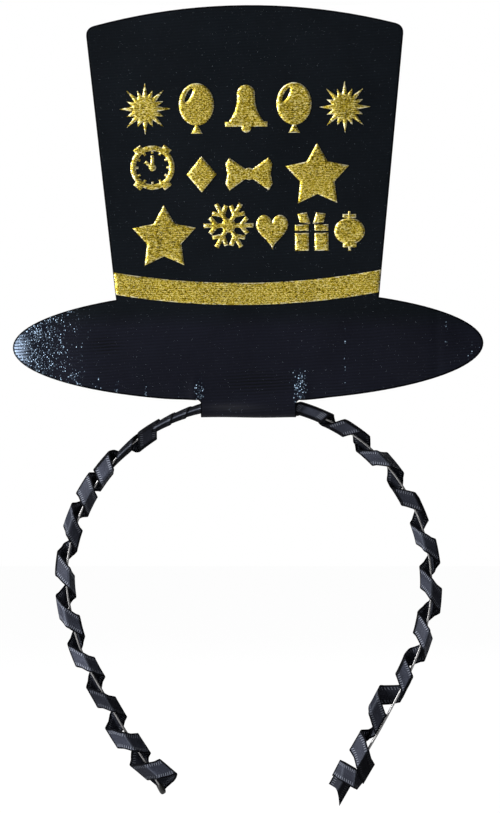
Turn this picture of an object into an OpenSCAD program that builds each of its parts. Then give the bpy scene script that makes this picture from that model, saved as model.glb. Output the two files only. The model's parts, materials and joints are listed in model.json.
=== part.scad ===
// Flat top-hat topper on a ribbon-wound headband of spring steel.
// Origin: the middle of the steel strip at the crown of the headband.
// +X is to the right of someone who faces the hat, +Y is its back, +Z is up.

/* [Headband] */
// Radius of the steel strip's centreline over the head
band_r = 64.8; // [62:0.2:70]
// Angle that the round part spans on each side of the crown
band_half_angle = 120; // [110:1:125]
// Length of the straight leg below the round part
leg_len = 46; // [40:1:52]
// Depth of the steel strip, front to back
strip_depth = 4.5; // [3.8:0.1:4.5]
// Thickness of the steel strip
strip_t = 1.0; // [0.6:0.1:1]
// Angle from the crown at which each arm flexes
flex_angle = 33; // [31:0.5:35]

/* [Ribbon] */
// Width of the grosgrain ribbon
ribbon_w = 6.35; // [5.5:0.05:6.5]
// Thickness of the ribbon
ribbon_t = 0.4; // [0.3:0.05:0.4]
// Side of the loose square wrap, inside the ribbon
wrap_side = 5.2; // [5:0.1:5.4]
// Band length that one loose turn takes up
loose_pitch = 16; // [14:0.5:17]
// Turns of ribbon that are wound tight over the crown
tight_turns = 7; // [6:1:7]

/* [Hat] */
// Width of the crown where it meets the brim
crown_base_w = 93; // [88:1:98]
// Width of the crown at its top corners
crown_top_w = 112.8; // [104:0.2:118]
// Height of the crown's top above the band's crown
hat_top = 140.6; // [130:0.2:145]
// Radius of the crown's arched top edge
top_arc_r = 213; // [190:1:260]
// Width of the brim
brim_w = 166.8; // [150:0.2:170]
// Height of the brim's oval
brim_h = 39.8; // [38:0.2:42]
// Thickness of the face and lining fabric
fabric_t = 0.5; // [0.3:0.05:0.5]
// Thickness of the foam core
foam_t = 2.2; // [1.8:0.1:2.2]
// Width of the tab that wraps the headband
tab_w = 34; // [30:1:34]
// Inside radius of the tab's loop
loop_r = 3.9; // [3.9:0.05:4.1]

/* [Foil] */
// Height that the gold foil stands above the fabric
foil_t = 0.35; // [0.2:0.05:0.6]
// Height of the gold hat band stripe
stripe_h = 7.8; // [6:0.2:9]
// Radius from the centre of a star to its points
star_r = 11.8; // [9:0.2:12]
// Size of the ornaments against their normal size
ornament_scale = 1; // [0.8:0.05:1.05]

/* [Hidden] */
$fn = 64;

// A bond line between two glued layers
bond = 0.05;
// A straight part that runs into a round one is this much thinner on each side
weld = 0.02;
// How far such a straight part runs into the round one
lap = 0.3;

// Headband
arc_end = band_r * band_half_angle * PI / 180;
flex_s = band_r * flex_angle * PI / 180;
flex_gap = 0.3;
tip_s = arc_end + leg_len;

// Ribbon
strip_clear = 0.1;
tight_depth = strip_depth / 2 + strip_clear;
tight_out = strip_t / 2 + strip_clear + 0.02;
ribbon_half_span = 0.63 * ribbon_w;
span_steps = 4;
corner_signs = [[-1, 1], [1, 1], [1, -1], [-1, -1]];
fold_len = 9;
fold_start = tip_s - fold_len;
fold_inside = wrap_side + 1;
fold_roll = 25;

// Layers of the hat, front to back, as Y of each face
loop_z = -1.1;
loop_outer = loop_r + fabric_t;
face_front = -loop_outer;
face_back = -loop_r;
foam_front = face_back + bond;
foam_back = foam_front + foam_t;
lining_front = foam_back + bond;
lining_back = lining_front + fabric_t;
foil_back = face_front - bond;

// Tab
wall_angle = 50;
flap_back = foam_back;
flap_front = flap_back - fabric_t;
flap_top = 17;
glue_t = 0.2;
pocket_floor = flap_front - glue_t - 2 * bond;
tab_clear = 0.1;

// Hat outline
brim_a = brim_w / 2;
brim_b = brim_h / 2;
brim_z = brim_b + 0.2;
meet_angle = acos(crown_base_w / brim_w);
meet_z = brim_z + brim_b * sin(meet_angle);
corner_cut = 3;
corner_z = hat_top - arc_drop(crown_top_w / 2);

function arc_drop(x) = top_arc_r - sqrt(top_arc_r * top_arc_r - x * x);
function crown_side(z) =
    crown_base_w / 2 + (crown_top_w - crown_base_w) / 2 * (z - meet_z) / (corner_z - meet_z);
function smooth(a, b, x) = let (t = min(max((x - a) / (b - a), 0), 1)) t * t * (3 - 2 * t);
function mirrored(points) = [for (i = [len(points) - 1:-1:0]) [-points[i].x, points[i].y]];

// ---- Band geometry ----

// A point beside the band at arc length s from the crown, negative to the left
function at_band(s, depth, out) =
    let (
        a = sign(s) * min(abs(s), arc_end) * 180 / (PI * band_r),
        e = sign(s) * max(abs(s) - arc_end, 0)
    )
    [
        (band_r + out) * sin(a) + e * cos(a),
        depth,
        (band_r + out) * cos(a) - band_r - e * sin(a)
    ];

// Puts children drawn along +X, with +Z outward, on the band at arc length s
module on_band(s) {
    a = sign(s) * min(abs(s), arc_end) * 180 / (PI * band_r);
    translate(at_band(s, 0, 0)) rotate([0, a, 0]) children();
}

// The round part of the steel strip between two angles
module strip_arc(from, to) {
    translate([0, 0, -band_r])
        rotate([90, 0, 0])
            rotate([0, 0, 90 - to])
                rotate_extrude(angle = to - from, $fn = 180)
                    translate([band_r - strip_t / 2, -strip_depth / 2])
                        square([strip_t, strip_depth]);
}

// One arm of the steel strip, from the flex point to the tip
module steel_arm() {
    gap_angle = flex_gap / 2 * 180 / (PI * band_r);
    color("darkgray") {
        strip_arc(flex_angle + gap_angle, band_half_angle);
        on_band(arc_end)
            translate([-lap, -strip_depth / 2, -strip_t / 2 + weld])
                cube([leg_len + lap, strip_depth, strip_t - 2 * weld]);
    }
}

// ---- Ribbon geometry ----

// How far the wrap has opened from tight (0) to the loose square (1), at arc length s
function looseness(s) =
    s < 0 ? smooth(27, 38, -s) - smooth(tip_s - 12, tip_s - 6, -s) : smooth(19, 27, s);
function wrap_depth(s) = tight_depth + (wrap_side / 2 - tight_depth) * looseness(s);
function wrap_out(s) = tight_out + (wrap_side / 2 - tight_out) * looseness(s);

// Band length of one turn at distance d from the crown
function pitch_left(d) = loose_pitch * (0.62 + 0.38 * smooth(60, 88, d));
function pitch_right(d) = loose_pitch * (1 + 0.16 * exp(-pow((d - 62) / 14, 2)));
tight_pitch = (2 * flex_s - 0.8 * loose_pitch) / tight_turns;
function pitch_crown(s) = s > flex_s - 0.8 * loose_pitch - 1 ? 0.8 * loose_pitch : tight_pitch;

// One crosswise row of the strip: inner points, then outer points, across its width
function ribbon_row(s, side) = [
    for (skin = [0, ribbon_t], i = [0:span_steps])
        let (p = s + ribbon_half_span * (2 * i / span_steps - 1))
        at_band(p, side[0] * (wrap_depth(s) + skin), side[1] * (wrap_out(s) + skin))
];

// A creased strip through rows of points, closed at both ends
module strip_through(rows) {
    n = 2 * (span_steps + 1);
    m = span_steps + 1;
    // Once round a row: out along the inner skin and back along the outer one
    ring = [for (i = [0:m - 1]) i, for (i = [m - 1:-1:0]) m + i];
    last = n * (len(rows) - 1);
    polyhedron(
        points = [for (row = rows, p = row) p],
        faces = [
            for (r = [0:len(rows) - 2], j = [0:n - 1])
                let (
                    a = n * r + ring[j],
                    b = n * r + ring[(j + 1) % n]
                )
                each [[a, a + n, b + n], [a, b + n, b]],
            for (i = [0:m - 2]) each [[i, i + 1, m + i + 1], [i, m + i + 1, m + i]],
            for (i = [0:m - 2])
                each [
                    [last + i, last + m + i + 1, last + i + 1],
                    [last + i, last + m + i, last + m + i + 1]
                ]
        ],
        convexity = 10
    );
}

// Rows halfway between creases keep long strands on the band's curve
function with_middles(rows) = [
    for (i = [0:len(rows) - 2]) each [rows[i], (rows[i] + rows[i + 1]) / 2],
    rows[len(rows) - 1]
];

// Arc lengths of the creases, a quarter turn apart, going right
function creases_crown() = [
    for (i = 0, s = -flex_s; s < flex_s - 0.01; s = s + pitch_crown(s) / 4, i = i + 1) s
];
function creases_right() = [
    for (s = flex_s; s + ribbon_half_span < fold_start - 0.5; s = s + pitch_right(s) / 4) s
];
// The left arm is wound from the flex point down to the tip
function creases_left() = [
    for (d = flex_s; d < tip_s - 7; d = d + pitch_left(d) / 4) -d
];

// ---- Hat geometry ----

right_outline = [
    for (t = [-90:3:meet_angle]) [brim_a * cos(t), brim_z + brim_b * sin(t)],
    [crown_base_w / 2, meet_z],
    for (u = [0:0.2:1])
        let (
            a = [crown_side(corner_z - corner_cut), corner_z - corner_cut],
            b = [crown_top_w / 2, corner_z],
            c = [crown_top_w / 2 - corner_cut, hat_top - arc_drop(crown_top_w / 2 - corner_cut)]
        )
        (1 - u) * (1 - u) * a + 2 * u * (1 - u) * b + u * u * c,
    for (i = [9:-1:1])
        let (x = i / 10 * (crown_top_w / 2 - corner_cut))
        [x, hat_top - arc_drop(x)]
];

module hat_outline() {
    polygon([each right_outline, [0, hat_top], each mirrored(right_outline)]);
}

// A flat sheet of the hat between two Y planes
module sheet(front, back) {
    translate([0, back, 0]) rotate([90, 0, 0]) linear_extrude(back - front) children();
}

// Puts children drawn in the Y, Z plane across the tab's width, round the loop's axis
module across_tab(width) {
    translate([-width / 2, 0, loop_z]) rotate([90, 0, 90]) linear_extrude(width) children();
}

// Clears the space inside the loop, where the headband runs
module loop_bore() {
    translate([0, 0, loop_z])
        rotate([0, 90, 0]) cylinder(r = loop_r, h = tab_w + 2 * tab_clear, center = true);
}

module front_fabric() {
    // The wall leaves the loop as a tangent and turns up into the flap
    in_r = loop_r + weld;
    out_r = loop_outer - weld;
    c = cos(wall_angle);
    s = sin(wall_angle);
    function tangent(r, y) = [y, (r - y * c) / s];
    function lapped(r) = [r * c + lap * s, r * s - lap * c];
    color([0.09, 0.11, 0.13]) {
        sheet(face_front, face_back) hat_outline();
        sheet(face_front + weld, face_back - weld)
            translate([-tab_w / 2, loop_z - lap]) square([tab_w, 4]);
        translate([-tab_w / 2, 0, loop_z])
            rotate([90, 0, 90])
                rotate([0, 0, 180])
                    rotate_extrude(angle = 180 + wall_angle)
                        translate([loop_r, 0]) square([fabric_t, tab_w]);
        across_tab(tab_w)
            polygon([
                lapped(out_r),
                tangent(out_r, flap_back),
                [flap_back, flap_top - loop_z],
                [flap_front, flap_top - loop_z],
                tangent(in_r, flap_front),
                lapped(in_r)
            ]);
    }
}

module foam_core() {
    color([0.16, 0.16, 0.17])
        difference() {
            sheet(foam_front, foam_back) hat_outline();
            loop_bore();
            // Pocket for the tab's flap and its glue
            translate([-tab_w / 2 - tab_clear, pocket_floor, -tab_w])
                cube([tab_w + 2 * tab_clear, tab_w, tab_w + flap_top + tab_clear]);
        }
}

module back_lining() {
    wall_top = loop_z + (loop_outer - lining_front * cos(wall_angle)) / sin(wall_angle);
    color([0.06, 0.06, 0.07])
        difference() {
            sheet(lining_front, lining_back) hat_outline();
            // Notch where the tab passes in behind the lining
            translate([-tab_w / 2 - tab_clear, -tab_w, -tab_w])
                cube([tab_w + 2 * tab_clear, 2 * tab_w, tab_w + wall_top + tab_clear]);
        }
}

module tab_glue() {
    color("ivory")
        sheet(flap_front - bond - glue_t, flap_front - bond)
            translate([-tab_w * 0.41, flap_top - 10])
                offset(1) translate([1, 1]) square([tab_w * 0.82 - 2, 7]);
}

// ---- Gold foil ----

module foil(x, z) {
    color([0.72, 0.6, 0.24])
        sheet(foil_back - foil_t, foil_back) translate([x, z]) children();
}

function star_points(n, radii) = [
    for (i = [0:n * len(radii) - 1])
        let (a = 90 + 360 * i / (n * len(radii)))
        radii[i % len(radii)] * [cos(a), sin(a)]
];

module foil_hat_band() {
    sag_r = 268;
    top_z = 42.2;
    edge = 0.15;
    function sag_z(x) = x * x / (2 * sag_r);
    // The stripe's end follows the crown's slanting side
    function end_x(z) = crown_side(z) - edge;
    function edge_line(z) = [
        for (i = [-12:12])
            let (x = i / 12 * end_x(z + sag_z(end_x(z))))
            [x, z + sag_z(x)]
    ];
    upper = edge_line(top_z);
    lower = edge_line(top_z - stripe_h);
    foil(0, 0) polygon([each lower, for (i = [len(upper) - 1:-1:0]) upper[i]]);
}

module foil_star(x, z) {
    foil(x, z) polygon(star_points(5, [star_r, 0.54 * star_r]));
}

module burst_shape(r) {
    polygon(star_points(8, [r, 0.5 * r, 0.76 * r, 0.5 * r]));
}

module oval(w, h) {
    polygon([for (a = [0:8:352]) [w / 2 * cos(a), h / 2 * sin(a)]]);
}

module balloon_shape(w, h) {
    body_h = 0.84 * h;
    translate([0, (h - body_h) / 2])
        difference() {
            oval(w, body_h);
            // Highlight cut out of the shoulder
            translate([-0.22 * w, 0.18 * h]) rotate(-28) oval(0.13 * w, 0.3 * h);
        }
    polygon([[0, -0.28 * h], [-0.16 * w, -h / 2], [0.16 * w, -h / 2]]);
}

module bell_shape(w, h) {
    half = [
        for (t = [1:-0.1:0])
            [w * (0.2 + 0.22 * pow(t, 3) + 0.04 * t), h * (0.3 - 0.62 * t)]
    ];
    polygon([each half, each mirrored(half)]);
    translate([0, 0.29 * h]) circle(0.21 * w);
    translate([-w / 2, -0.38 * h]) square([w, 0.1 * h]);
    translate([0, -0.4 * h]) circle(0.1 * h);
}

module clock_shape(r) {
    rim = 0.24 * r;
    hand_w = 0.15 * r;
    difference() {
        circle(r);
        circle(r - rim);
    }
    for (hour = [0:11])
        rotate(30 * hour) translate([0.64 * r, -0.05 * r]) square([0.2 * r, 0.1 * r]);
    circle(0.16 * r);
    translate([-hand_w / 2, 0]) square([hand_w, 0.56 * r]);
    rotate(50) translate([-hand_w / 2, 0]) square([hand_w, 0.42 * r]);
    // Two bells and two feet round the rim
    for (a = [52, 128, 232, 308])
        rotate(a) translate([r - 0.1 * r, -0.2 * r]) square([0.26 * r, 0.4 * r]);
}

module diamond_shape(w, h) {
    polygon([[0, -h / 2], [w / 2, 0], [0, h / 2], [-w / 2, 0]]);
}

module bow_shape(w, h) {
    wing = [[0.04 * w, -0.12 * h], [0.42 * w, -h / 2], [w / 2, -0.3 * h], [0.46 * w, 0],
            [w / 2, 0.3 * h], [0.42 * w, h / 2], [0.04 * w, 0.12 * h]];
    polygon([each wing, each mirrored(wing)]);
    circle(0.13 * w);
}

module snowflake_shape(r) {
    arm_w = 0.17 * r;
    for (a = [0:60:300])
        rotate(a) {
            translate([0, -arm_w / 2]) square([r, arm_w]);
            for (side = [-1, 1])
                translate([0.48 * r, 0]) rotate(50 * side)
                    translate([0, -arm_w / 2]) square([0.42 * r, arm_w]);
        }
    circle(0.28 * r, $fn = 48);
}

module heart_shape(w, h) {
    polygon([
        for (t = [0:10:350])
            [w / 2 * pow(sin(t), 3),
             h / 30 * (13 * cos(t) - 5 * cos(2 * t) - 2 * cos(3 * t) - cos(4 * t)) + 0.08 * h]
    ]);
}

module gift_shape(w, h) {
    box_h = 0.68 * h;
    gap = 0.09 * w;
    for (side = [0, 1])
        mirror([side, 0]) {
            translate([gap, -h / 2]) square([w / 2 - gap, box_h * 0.68]);
            translate([gap, -h / 2 + box_h * 0.76]) square([w / 2 - gap, box_h * 0.24]);
            polygon([[0.04 * w, 0.2 * h], [0.36 * w, 0.24 * h], [0.42 * w, 0.46 * h], [0.14 * w, h / 2]]);
        }
}

module lantern_shape(w, h) {
    oval(w, 0.66 * h);
    for (side = [-1, 1])
        translate([-0.22 * w, side * 0.37 * h - 0.04 * h]) square([0.44 * w, 0.1 * h]);
    translate([-0.04 * w, -h / 2]) square([0.08 * w, h]);
}

// ---- Sub-parts placed by name ----

module foil_star_left() { foil_star(-29.3, 58.3); }
module foil_star_right() { foil_star(25.2, 79.8); }
module foil_burst_left() { foil(-35.6, 104.2) scale(ornament_scale) burst_shape(9.2); }
module foil_balloon_left() { foil(-17.4, 104.2) scale(ornament_scale) balloon_shape(12.4, 17.9); }
module foil_bell() { foil(0.2, 104.2) scale(ornament_scale) bell_shape(15, 17.4); }
module foil_balloon_right() { foil(17.2, 104.2) scale(ornament_scale) balloon_shape(12.4, 17.9); }
module foil_burst_right() { foil(35.2, 104.2) scale(ornament_scale) burst_shape(9.2); }
module foil_clock() { foil(-33.2, 83.4) scale(ornament_scale) clock_shape(7.8); }
module foil_diamond() { foil(-15.8, 80.8) scale(ornament_scale) diamond_shape(10.6, 12.8); }
module foil_bow() { foil(1, 80.8) scale(ornament_scale) bow_shape(16.6, 11.6); }
module foil_snowflake() { foil(-6.4, 62.6) scale(ornament_scale) snowflake_shape(8.8); }
module foil_heart() { foil(9, 60.2) scale(ornament_scale) heart_shape(11.4, 12.6); }
module foil_gift() { foil(23, 60.2) scale(ornament_scale) gift_shape(11.8, 13.6); }
module foil_lantern() { foil(36.4, 60.2) scale(ornament_scale) lantern_shape(10.8, 14); }

module steel_crown() {
    gap_angle = flex_gap / 2 * 180 / (PI * band_r);
    color("darkgray") strip_arc(-flex_angle + gap_angle, flex_angle - gap_angle);
}

module steel_right() { steel_arm(); }
module steel_left() { mirror([1, 0, 0]) steel_arm(); }

// Ribbon pieces meet at a crease of the wrap, each just short of the other's face
module wound_ribbon(creases, first_side, step) {
    rows = [
        for (i = [0:len(creases) - 1])
            ribbon_row(creases[i], corner_signs[(first_side + step * i + 400) % 4])
    ];
    short = 0.06;
    eased = [
        for (i = [0:len(rows) - 1])
            i == 0 ? (1 - short) * rows[0] + short * rows[1]
            : i == len(rows) - 1 ? (1 - short) * rows[i] + short * rows[i - 1]
            : rows[i]
    ];
    color([0.2, 0.21, 0.26]) strip_through(with_middles(eased));
}

module ribbon_crown() { wound_ribbon([each creases_crown(), flex_s], 0, 1); }
module ribbon_right() { wound_ribbon(creases_right(), 0, 1); }
module ribbon_left() { wound_ribbon(creases_left(), 0, -1); }

// The dab of glue between the strip and a strand over it, from d along the arm
module glue_dab(side, d, size, room) {
    color("ivory")
        on_band(side * d)
            translate([-size[0] / 2, -size[1] / 2, strip_t / 2 + bond])
                cube([size[0], size[1], room - strip_t / 2 - 2 * bond]);
}

module glue_right() { glue_dab(1, fold_start + 3.5, [4, 3], wrap_side / 2 + 0.1); }
module glue_left() { glue_dab(-1, tip_s - 8, [3, 3.4], tight_out + bond + 0.01); }

// A vinyl cap on the strip's end, with a rounded nose
module tip_cap(side) {
    cap_t = 2.8;
    cap_depth = strip_depth + 0.7;
    cap_len = 3;
    color([0.08, 0.08, 0.08])
        mirror([side < 0 ? 1 : 0, 0, 0])
            on_band(tip_s)
                difference() {
                    union() {
                        translate([-cap_len, -cap_depth / 2, -cap_t / 2 + weld])
                            cube([cap_len, cap_depth, cap_t - 2 * weld]);
                        rotate([90, 0, 0]) cylinder(d = cap_t, h = cap_depth, center = true);
                    }
                    translate([-2 * cap_len, -strip_depth / 2 - bond, -strip_t / 2 - bond])
                        cube([2 * cap_len + bond, strip_depth + 2 * bond, strip_t + 2 * bond]);
                }
}

module tip_cap_left() { tip_cap(-1); }
module tip_cap_right() { tip_cap(1); }

// The ribbon's end, folded square round the right tip, with its cut tail
module ribbon_end_fold() {
    outside = fold_inside + 2 * ribbon_t;
    reach = 5.5;
    color([0.2, 0.21, 0.26])
        on_band(tip_s)
            rotate([fold_roll, 0, 0]) {
                difference() {
                    translate([-fold_len, -outside / 2, -outside / 2])
                        cube([fold_len, outside, outside]);
                    translate([-fold_len - 1, -fold_inside / 2, -fold_inside / 2])
                        cube([fold_len + 2, fold_inside, fold_inside]);
                }
                // The tail is cut with a hollow end
                translate([-1, ribbon_t - outside / 2, 0])
                    rotate([90, 0, 0])
                        linear_extrude(ribbon_t)
                            difference() {
                                translate([0, -outside / 2]) square([reach, ribbon_w]);
                                translate([reach + 3, 0.2]) circle(4.2);
                            }
            }
}

front_fabric();
foam_core();
back_lining();
tab_glue();
foil_hat_band();
foil_star_left();
foil_star_right();
foil_burst_left();
foil_balloon_left();
foil_bell();
foil_balloon_right();
foil_burst_right();
foil_clock();
foil_diamond();
foil_bow();
foil_snowflake();
foil_heart();
foil_gift();
foil_lantern();
steel_crown();
ribbon_crown();
steel_left();
ribbon_left();
glue_left();
tip_cap_left();
steel_right();
ribbon_right();
glue_right();
tip_cap_right();
ribbon_end_fold();
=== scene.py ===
"""Looks of the party hat headband: a foam-backed hat with gold foil shapes, on a ribbon-wound steel band.
Lengths inside the functions are in millimetres; meshes are made in metres."""

import json
import math

import bpy
import numpy as np
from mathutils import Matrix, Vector
from mathutils.geometry import delaunay_2d_cdt

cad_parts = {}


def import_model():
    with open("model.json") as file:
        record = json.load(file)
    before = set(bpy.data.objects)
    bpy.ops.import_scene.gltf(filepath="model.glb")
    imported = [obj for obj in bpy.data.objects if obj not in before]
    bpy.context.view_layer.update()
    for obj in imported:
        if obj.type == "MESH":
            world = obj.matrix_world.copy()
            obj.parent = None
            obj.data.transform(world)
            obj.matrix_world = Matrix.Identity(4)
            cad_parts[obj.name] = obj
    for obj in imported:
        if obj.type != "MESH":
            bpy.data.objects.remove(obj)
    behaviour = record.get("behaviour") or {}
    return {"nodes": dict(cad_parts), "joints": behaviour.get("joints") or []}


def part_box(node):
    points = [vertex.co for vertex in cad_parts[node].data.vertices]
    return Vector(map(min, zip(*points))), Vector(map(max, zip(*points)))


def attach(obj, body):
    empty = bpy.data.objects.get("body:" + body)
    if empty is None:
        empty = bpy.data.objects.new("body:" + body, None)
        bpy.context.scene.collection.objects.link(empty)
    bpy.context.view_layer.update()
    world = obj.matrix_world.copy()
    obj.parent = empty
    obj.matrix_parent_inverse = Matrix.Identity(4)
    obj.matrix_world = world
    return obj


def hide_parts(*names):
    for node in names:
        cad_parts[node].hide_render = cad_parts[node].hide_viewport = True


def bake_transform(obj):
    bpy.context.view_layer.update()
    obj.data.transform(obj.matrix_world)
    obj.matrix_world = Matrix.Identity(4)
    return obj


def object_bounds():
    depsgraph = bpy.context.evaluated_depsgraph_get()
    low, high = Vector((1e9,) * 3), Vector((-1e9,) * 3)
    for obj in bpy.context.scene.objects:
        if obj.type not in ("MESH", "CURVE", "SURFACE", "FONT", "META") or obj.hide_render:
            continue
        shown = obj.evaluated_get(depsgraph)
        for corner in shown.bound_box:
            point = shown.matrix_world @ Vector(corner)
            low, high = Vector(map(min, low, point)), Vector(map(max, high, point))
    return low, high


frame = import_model()
CAD_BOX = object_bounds()
MM = 0.001


def box_mm(node):
    low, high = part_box(node)
    return np.array(low) / MM, np.array(high) / MM


# ---- Measures of the frame ----

crown_low, crown_high = box_mm("steel_crown")
STRIP_T = 2 * crown_high[2]
STRIP_DEPTH = crown_high[1] - crown_low[1]
BAND_R = box_mm("steel_right")[1][0] - STRIP_T / 2
# The band is an arc this far to each side of its crown, and its legs run on straight
HALF_ANGLE = math.radians(120)
ARC_END = BAND_R * HALF_ANGLE
ARC_END_Z = BAND_R * (math.cos(HALF_ANGLE) - 1)
LEG_LEN = (ARC_END_Z - box_mm("steel_right")[0][2] - STRIP_T / 4) / math.sin(HALF_ANGLE)
TIP_S = ARC_END + LEG_LEN
JOINTS = {j["name"]: j for j in frame["joints"]}
FLEX_X, _, FLEX_Z = [v / MM for v in JOINTS["right_arm_flex"]["pos_m"]]
FLEX_S = BAND_R * math.atan2(FLEX_X, FLEX_Z + BAND_R)
LOOP_Z = JOINTS["hat_tilt"]["pos_m"][2] / MM

FACE_FRONT = box_mm("front_fabric")[0][1]
FABRIC_T = box_mm("back_lining")[1][1] - box_mm("back_lining")[0][1]
FLAP_BACK = box_mm("foam_core")[1][1]
FLAP_TOP = 17
TAB_HALF = 17
LOOP_OUTER = -FACE_FRONT
LOOP_MID = LOOP_OUTER - FABRIC_T / 2
WALL_ANGLE = math.radians(50)
ARC_LEN = (math.pi + WALL_ANGLE) * LOOP_MID
WALL_LEN = (LOOP_OUTER * math.cos(WALL_ANGLE) - FLAP_BACK) / math.sin(WALL_ANGLE)
WALL_END_Z = LOOP_Z + LOOP_OUTER * math.sin(WALL_ANGLE) + WALL_LEN * math.cos(WALL_ANGLE)


# ---- Plain functions ----

def smooth(a, b, x):
    """0 at a and 1 at b, eased between and level beyond."""
    t = np.clip((np.asarray(x, float) - a) / (b - a), 0, 1)
    return t * t * (3 - 2 * t)


def ripple(x, z, wavelength, seed):
    """A soft, repeatable wave field of about unit height."""
    total = 0
    for i in range(5):
        angle = seed * 1.7 + i * 2.4
        k = 2 * math.pi / (wavelength * (0.7 + 0.17 * i))
        total = total + np.sin(k * (x * math.cos(angle) + z * math.sin(angle)) + seed * 3.1 + i * 1.9)
    return total / 2.6


def drape(x, z):
    """How far the hat panel bows back (+) or forward (-) from flat."""
    off_tab = np.clip(smooth(2, 14, z) + smooth(24, 34, np.abs(x)), 0, 1)
    on_brim = smooth(44, 34, z)
    left_tip = 4.2 * smooth(56, 88, -x) * on_brim
    right_tip = 1.7 * smooth(60, 86, x) * on_brim
    crease = 0.22 * np.exp(-((x - 67) / 1.5) ** 2) * on_brim
    crown = 0.3 * ripple(x, z, 70, 2) * smooth(30, 60, z)
    brim = 0.16 * ripple(x, z, 34, 5) * on_brim * smooth(20, 40, np.abs(x))
    # Folds beside the tab, where the fabric is pulled round the headband
    fold = -0.55 * np.exp(-((np.abs(x) - 19.3) / 1.5) ** 2) * smooth(13, 2, z)
    return off_tab * (left_tip + right_tip + crown + brim + crease) + fold * smooth(-1, 1, z)


# ---- Mesh building ----

def add_object(name, data):
    obj = bpy.data.objects.new(name, data)
    bpy.context.scene.collection.objects.link(obj)
    return obj


def make_object(name, points_mm, faces, uv=None):
    """A smooth mesh object from points in millimetres. uv holds one pair for each point."""
    mesh = bpy.data.meshes.new(name)
    mesh.from_pydata((np.asarray(points_mm) * MM).tolist(), [], faces)
    mesh.update()
    mesh.polygons.foreach_set("use_smooth", [True] * len(mesh.polygons))
    if uv is not None:
        layer = mesh.uv_layers.new(name="strip")
        corners = np.zeros(len(mesh.loops), np.int32)
        mesh.loops.foreach_get("vertex_index", corners)
        layer.data.foreach_set("uv", np.asarray(uv, np.float32)[corners].ravel())
    return add_object(name, mesh)


def mark(obj, label, values):
    """Stores one number for each point of a mesh, for its material to read."""
    marks = obj.data.attributes.new(label, "FLOAT", "POINT")
    marks.data.foreach_set("value", values)


def face_loops(node, y_mm):
    """The outlines of a node's flat face at one Y, as ordered arrays of (x, z) in millimetres."""
    mesh = frame["nodes"][node].data
    co = np.array([v.co for v in mesh.vertices]) / MM
    number = {}
    index = [number.setdefault((round(p[0], 3), round(p[2], 3)), len(number)) for p in co]
    edges = set()
    for poly in mesh.polygons:
        if all(abs(co[v][1] - y_mm) < 0.004 for v in poly.vertices):
            ring = [index[v] for v in poly.vertices]
            edges.update((a, b) for a, b in zip(ring, ring[1:] + ring[:1]) if a != b)
    following = {a: b for a, b in edges if (b, a) not in edges}
    places = list(number)
    loops = []
    while following:
        at = next(iter(following))
        loop = []
        while at in following:
            loop.append(places[at])
            at = following.pop(at)
        loops.append(np.array(loop))
    return loops


def resample(loop, step):
    """Splits a closed outline's long edges so that none is longer than step."""
    out = []
    for a, b in zip(loop, np.roll(loop, -1, axis=0)):
        n = max(1, math.ceil(np.linalg.norm(b - a) / step))
        out.extend(a + (b - a) * i / n for i in range(n))
    return np.array(out)


def inside_loops(points, loops):
    """Even-odd test of points against closed outlines."""
    odd = np.zeros(len(points), bool)
    x, z = points[:, 0], points[:, 1]
    for loop in loops:
        for (x1, z1), (x2, z2) in zip(loop, np.roll(loop, -1, axis=0)):
            if z1 == z2:
                continue
            odd ^= ((z1 > z) != (z2 > z)) & (x < (x2 - x1) * (z - z1) / (z2 - z1) + x1)
    return odd


def distance_to(points, loops):
    """Distance from each point to the nearest outline."""
    best = np.full(len(points), 1e9)
    for loop in loops:
        for a, b in zip(loop, np.roll(loop, -1, axis=0)):
            d = b - a
            t = np.clip(((points - a) @ d) / max(d @ d, 1e-12), 0, 1)
            gap = points - (a + t[:, None] * d)
            best = np.minimum(best, np.hypot(gap[:, 0], gap[:, 1]))
    return best


def staggered_rows(low, high, step):
    """Points of an even triangular grid over a box."""
    rows = []
    for i, z in enumerate(np.arange(low[1], high[1], step * 0.866)):
        xs = np.arange(low[0] + (i % 2) * step / 2, high[0], step)
        rows.append(np.column_stack([xs, np.full(len(xs), z)]))
    return np.concatenate(rows)


def triangulate(loops, step):
    """Even triangles over the region between outlines: points, triangles and the outlines' point numbers."""
    low = np.min([loop.min(0) for loop in loops], axis=0)
    high = np.max([loop.max(0) for loop in loops], axis=0)
    grid = staggered_rows(low, high, step)
    grid = grid[inside_loops(grid, loops)]
    grid = grid[distance_to(grid, loops) > 0.55 * step]
    points, edges, rings = [], [], []
    for loop in loops:
        ring = list(range(len(points), len(points) + len(loop)))
        points.extend(loop.tolist())
        rings.append(ring)
        edges.extend(zip(ring, ring[1:] + ring[:1]))
    points.extend(grid.tolist())
    verts, _, faces, originals, _, _ = delaunay_2d_cdt([Vector(p) for p in points], edges, [], 0, 1e-5)
    number = {o: i for i, group in enumerate(originals) for o in group}
    verts = np.array([tuple(v) for v in verts])
    faces = [list(f) for f in faces]
    middles = np.array([verts[f].mean(0) for f in faces])
    faces = [f for f, kept in zip(faces, inside_loops(middles, loops)) if kept]
    return verts, faces, [[number[i] for i in ring] for ring in rings]


def outline_normals(outline):
    """Unit normals of a closed outline in its plane, to the right of its direction of travel."""
    d = np.roll(outline, -1, axis=0) - np.roll(outline, 1, axis=0)
    n = np.column_stack([d[:, 1], -d[:, 0]])
    return n / np.maximum(np.linalg.norm(n, axis=1), 1e-9)[:, None]


def signed_area(outline):
    """More than 0 for an outline that runs counter-clockwise."""
    x, z = outline[:, 0], outline[:, 1]
    return 0.5 * np.sum(x * np.roll(z, -1) - np.roll(x, -1) * z)


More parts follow.
